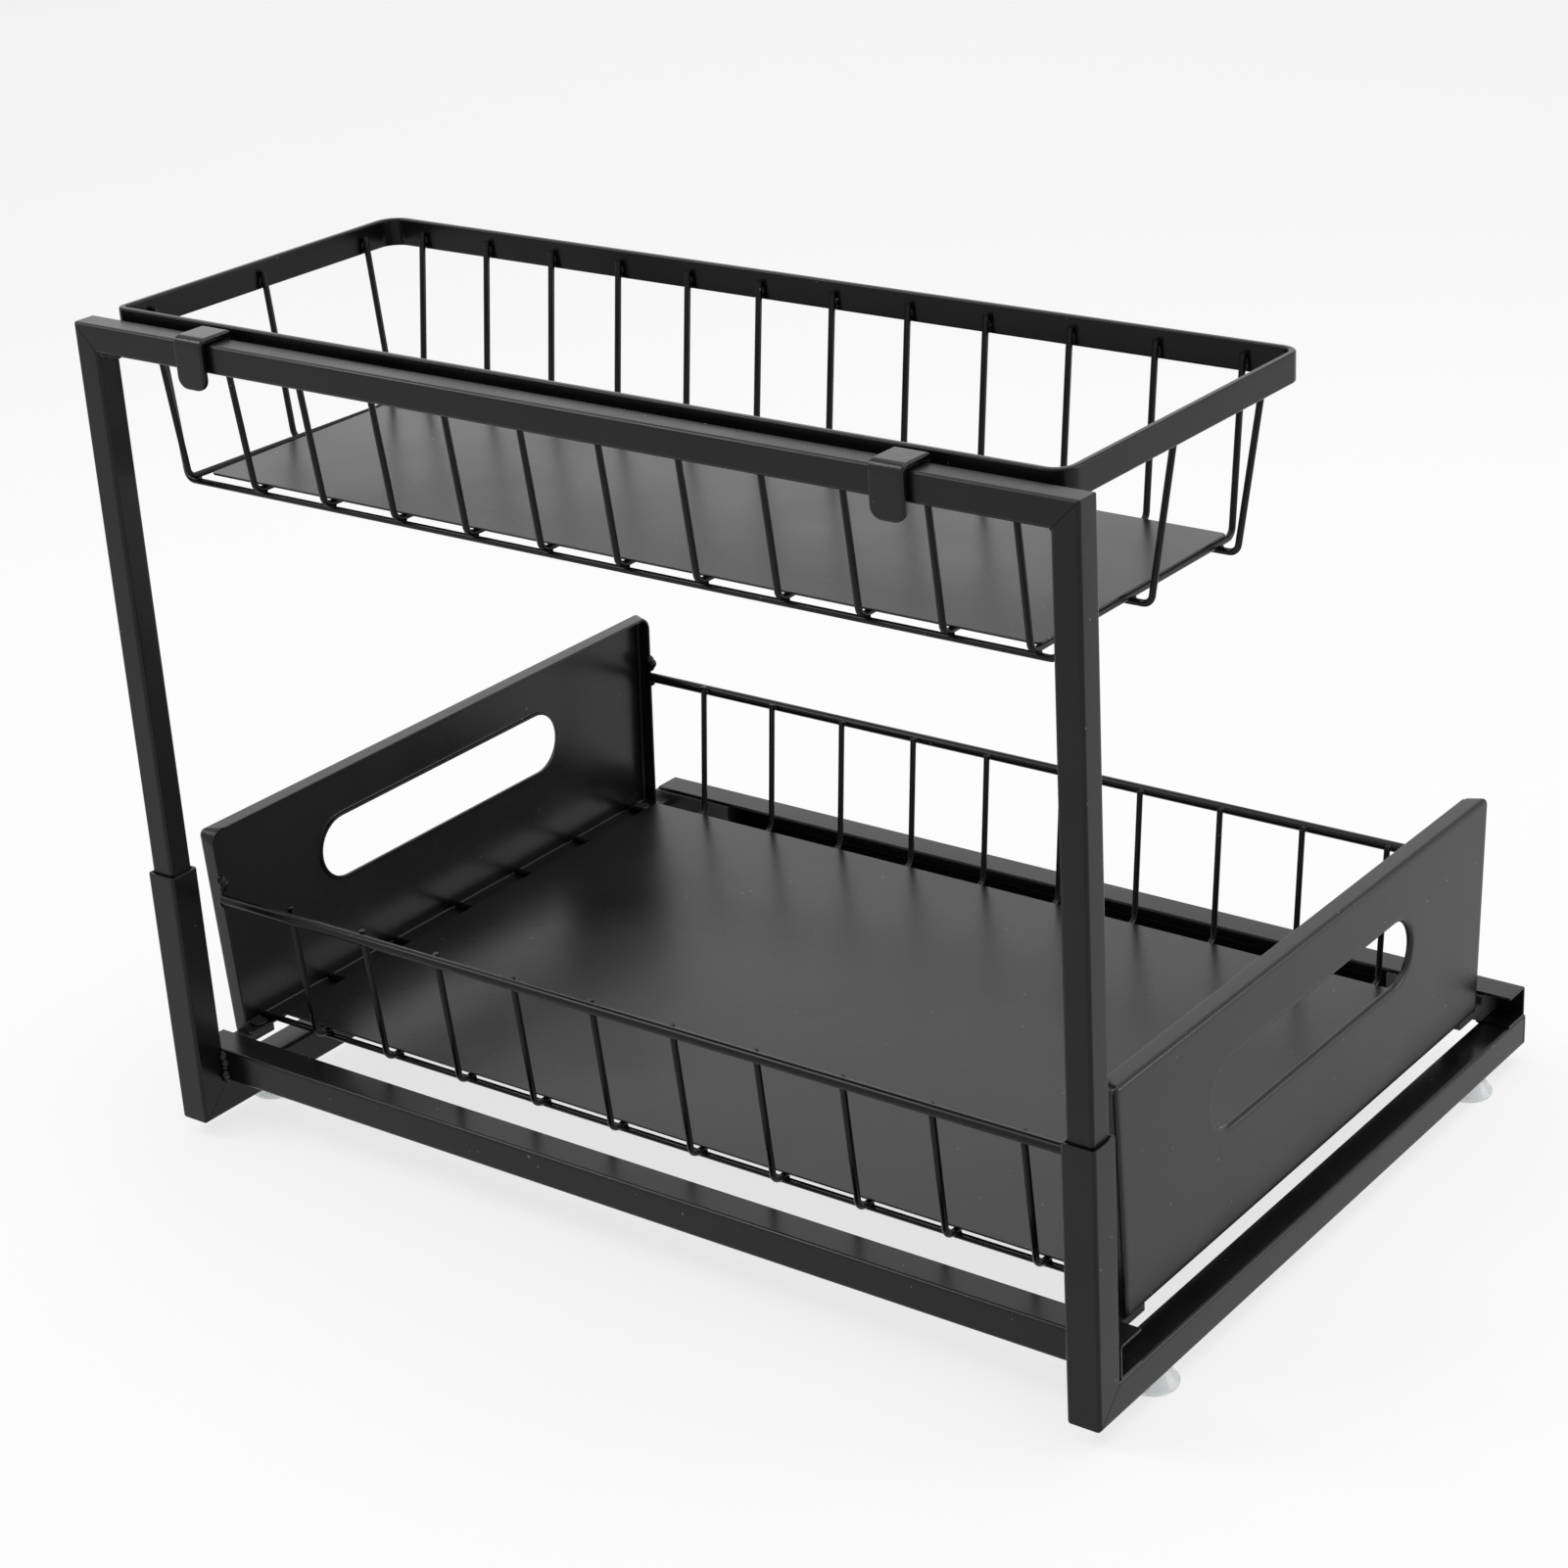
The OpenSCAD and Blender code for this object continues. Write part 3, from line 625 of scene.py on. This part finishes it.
def swept_wire(box, tips, feet, tip_z, bend, diameter, along, drops, skew=0.0):
    """A round wire bent up at both ends, with its welding drops. A disc is extruded from ring to
    ring along the wire's middle line, and both cut ends are rounded. A wire that wasn't square in
    the welding jig is skewed: its far end is that much further on than its near end."""
    low, high = box
    across = 1 - along
    middle = (low[across] + high[across]) / 2
    span = tips[1] - tips[0]
    axis = "Y" if along == 0 else "X"
    deselect()
    bpy.ops.mesh.primitive_circle_add(vertices=14, radius=diameter / 2, fill_type="NGON")
    wire = bpy.context.object
    wire.data.transform(Matrix.Rotation(math.pi / 2, 4, axis))
    ring = [v.co.copy() for v in wire.data.vertices]
    places = []
    for p, z, heading in wire_path(low.z + diameter / 2, tips, feet, tip_z, bend):
        pitch = Matrix.Rotation(-heading if along == 0 else heading, 4, axis)
        at = Vector((0, 0, z))
        at[along] = p
        at[across] = middle + skew * ((p - tips[0]) / span - 0.5)
        places.append([pitch @ co + at for co in ring])
    for vertex, co in zip(wire.data.vertices, places[0]):
        vertex.co = co
    bpy.ops.object.mode_set(mode="EDIT")
    bpy.ops.mesh.select_all(action="SELECT")
    for rings in places[1:]:
        bpy.ops.mesh.extrude_region_move(TRANSFORM_OT_translate={"value": (0, 0, 0)})
        bpy.ops.object.mode_set(mode="OBJECT")
        fresh = [v for v in wire.data.vertices if v.select]
        for vertex, co in zip(fresh, rings):
            vertex.co = co
        bpy.ops.object.mode_set(mode="EDIT")
    bpy.ops.mesh.select_all(action="SELECT")
    bpy.ops.mesh.normals_make_consistent(inside=False)
    bpy.ops.object.mode_set(mode="OBJECT")
    edge = wire.modifiers.new("edge", "BEVEL")
    edge.width = diameter * 0.2
    edge.segments = 3
    edge.limit_method = "ANGLE"
    edge.angle_limit = math.radians(60)
    bpy.ops.object.modifier_apply(modifier=edge.name)
    bpy.ops.object.mode_set(mode="EDIT")
    for point, sizes in drops:
        bpy.ops.mesh.select_all(action="DESELECT")
        bpy.ops.mesh.primitive_uv_sphere_add(segments=10, ring_count=6, radius=1)
        bpy.ops.transform.resize(value=sizes)
        moved = list(point)
        moved[across] += skew * ((point[along] - tips[0]) / span - 0.5)
        bpy.ops.transform.translate(value=moved)
    bpy.ops.object.mode_set(mode="OBJECT")
    bpy.ops.object.shade_smooth_by_angle(angle=smooth_up_to)
    return wire


drawer_wire_d = 0.0024
drawer_bend = 0.004
drawer_foot = 0.1186
drawer_tip = 0.12417
drawer_tips_z = (0.0883, 0.0873, 0.0868, 0.0865, 0.0865, 0.0862, 0.0862, 0.0860, 0.0858, 0.0858)
rod_z = 0.0855
floor_rod_pitch = 0.2236 / 6
floor_rods_y = [mid_y + (i - 4) * floor_rod_pitch for i in range(1, 8)]
tip_drop = (0.0017, 0.0011, 0.0012)
crossing_drop = (0.0015, 0.0013, 0.0006)
for number, tip_z in enumerate(drawer_tips_z, 1):
    node = "drawer_wire_" + str(number)
    low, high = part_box(node)
    x = (low.x + high.x) / 2
    drops = [((x, mid_y + s * (drawer_tip + drawer_wire_d / 2), rod_z), tip_drop)
             for s in (-1, 1)]
    drops += [((x, y, low.z), crossing_drop) for y in floor_rods_y]
    wire = swept_wire((low, high), (mid_y - drawer_tip, mid_y + drawer_tip),
                      (mid_y - drawer_foot, mid_y + drawer_foot), tip_z, drawer_bend,
                      drawer_wire_d, 1, drops)
    settle(wire, node + "_coated", "drawer", "wire_steel", wire_coat, node)


# Four nylon glides run in the channels, moulded in one piece each. Each has a shoe, an arm under
# the end panel and a stud that snaps up through the panel's flange.
for end in ("front", "back"):
    for side in ("left", "right"):
        node = "glide_" + end + "_" + side
        settle(eased(node, moulded_edge), node + "_moulded", "drawer", "nylon", nylon, node)


# The basket's rim: a flat steel strip bent on edge to a ring by hand, so that its corners differ a
# little. Its ends are butt-welded near the back left corner and ground nearly flush.
rim_low, rim_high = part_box("basket_rim")
rim_t = 0.0025
rim_edge = 0.0007
rim_corners = (0.007, 0.009, 0.004, 0.008)
rim_mid = (rim_low + rim_high) / 2
rim_reach = ((rim_high.x - rim_low.x) / 2, (rim_high.y - rim_low.y) / 2)


def rim_loop(inset, z):
    """A loop of the rim at a height, drawn in from its outer face."""
    radii = [(corner, corner - inset) for corner in rim_corners]
    return [(rim_mid.x + x, rim_mid.y + y, z) for x, y in rounded_corners(rim_reach, radii, 8)]


rim = skin_over([rim_loop(0, rim_low.z), rim_loop(0, rim_high.z), rim_loop(rim_t, rim_high.z),
                 rim_loop(rim_t, rim_low.z)], ((0, 1), (1, 2), (2, 3), (3, 0)))
settle(finish_edges(rim, rim_edge, 3), "basket_rim_coated", "basket", "wire_steel", wire_coat,
       "basket_rim")
seam_x = rim_low.x + 0.030
seam_drop = 0.0012
seam = [(seam_x, rim_high.y - 0.0002, rim_low.z + 0.0015 + 0.0011 * k) for k in range(7)]
settle(weld_bead(seam, seam_drop, (1.0, 0.22, 1.0)), "rim_seam", "basket", "wire_steel", wire_coat)


# The basket's wires: three long ones below and twelve cross ones over them, drawn wire bent up and
# resistance-welded inside the rim. The cross ones weren't all held quite square.
basket_wire_d = 0.0023
basket_bend = 0.0035
rim_inset = rim_t + basket_wire_d / 2 + 0.00005
rim_drop = (0.0016, 0.0008, 0.0022)
low_drop = (0.0014, 0.0014, 0.0006)
drop_in = rim_inset - rim_drop[1]
drop_z = rim_low.z + 0.0028
tip_z = rim_high.z - 0.0035
cross_draw = 0.0111
long_draw_left = 0.0095
long_draw_right = 0.0135
cross_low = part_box("basket_wire_1")[0].z
long_boxes = [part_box("basket_long_wire_" + str(i)) for i in (1, 2, 3)]
long_ys = [(low.y + high.y) / 2 for low, high in long_boxes]
wire_skews = (0.0044, 0.0036, 0.0018, 0.0004, -0.0004, -0.0013, -0.0023, -0.0031, -0.0037, -0.0015,
              0.0, 0.0008)
for number, skew in enumerate(wire_skews, 1):
    node = "basket_wire_" + str(number)
    low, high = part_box(node)
    x = (low.x + high.x) / 2
    drops = [((x, y, drop_z), rim_drop) for y in (rim_low.y + drop_in, rim_high.y - drop_in)]
    drops += [((x, y, cross_low), low_drop) for y in long_ys]
    wire = swept_wire((low, high), (rim_low.y + rim_inset, rim_high.y - rim_inset),
                      (rim_low.y + cross_draw, rim_high.y - cross_draw), tip_z, basket_bend,
                      basket_wire_d, 1, drops, skew)
    settle(wire, node + "_coated", "basket", "wire_steel", wire_coat, node)
for number, (y, box) in enumerate(zip(long_ys, long_boxes), 1):
    node = "basket_long_wire_" + str(number)
    drops = [((x, y, drop_z), (rim_drop[1], rim_drop[0], rim_drop[2]))
             for x in (rim_low.x + drop_in, rim_high.x - drop_in)]
    wire = swept_wire(box, (rim_low.x + rim_inset, rim_high.x - rim_inset),
                      (rim_low.x + long_draw_left, rim_high.x - long_draw_right), tip_z,
                      basket_bend, basket_wire_d, 0, drops)
    settle(wire, node + "_coated", "basket", "wire_steel", wire_coat, node)


# The basket's floor: a plain sheet of steel on the cross wires, laid and spot-welded as in the
# drawer.
settle(eased("basket_floor", sheet_edge), "basket_floor_coated", "basket", "sheet_steel",
       sheet_coat, "basket_floor")


# Two saddle hooks of strip, bent over the arch's rail and welded to the rim. The powder has run
# thick and glossy on them, with rounder edges and long shallow waves.
thick_coat = powder_coat("thick glossy black powder coat on strip", "#0a0a0b", "#101011",
                         0.17, 0.0035, 0.00006, 1.36)
thick_edge = 0.0009
for side in ("left", "right"):
    node = "hook_" + side
    settle(eased(node, thick_edge, 4), node + "_coated", "basket", "wire_steel", thick_coat, node)
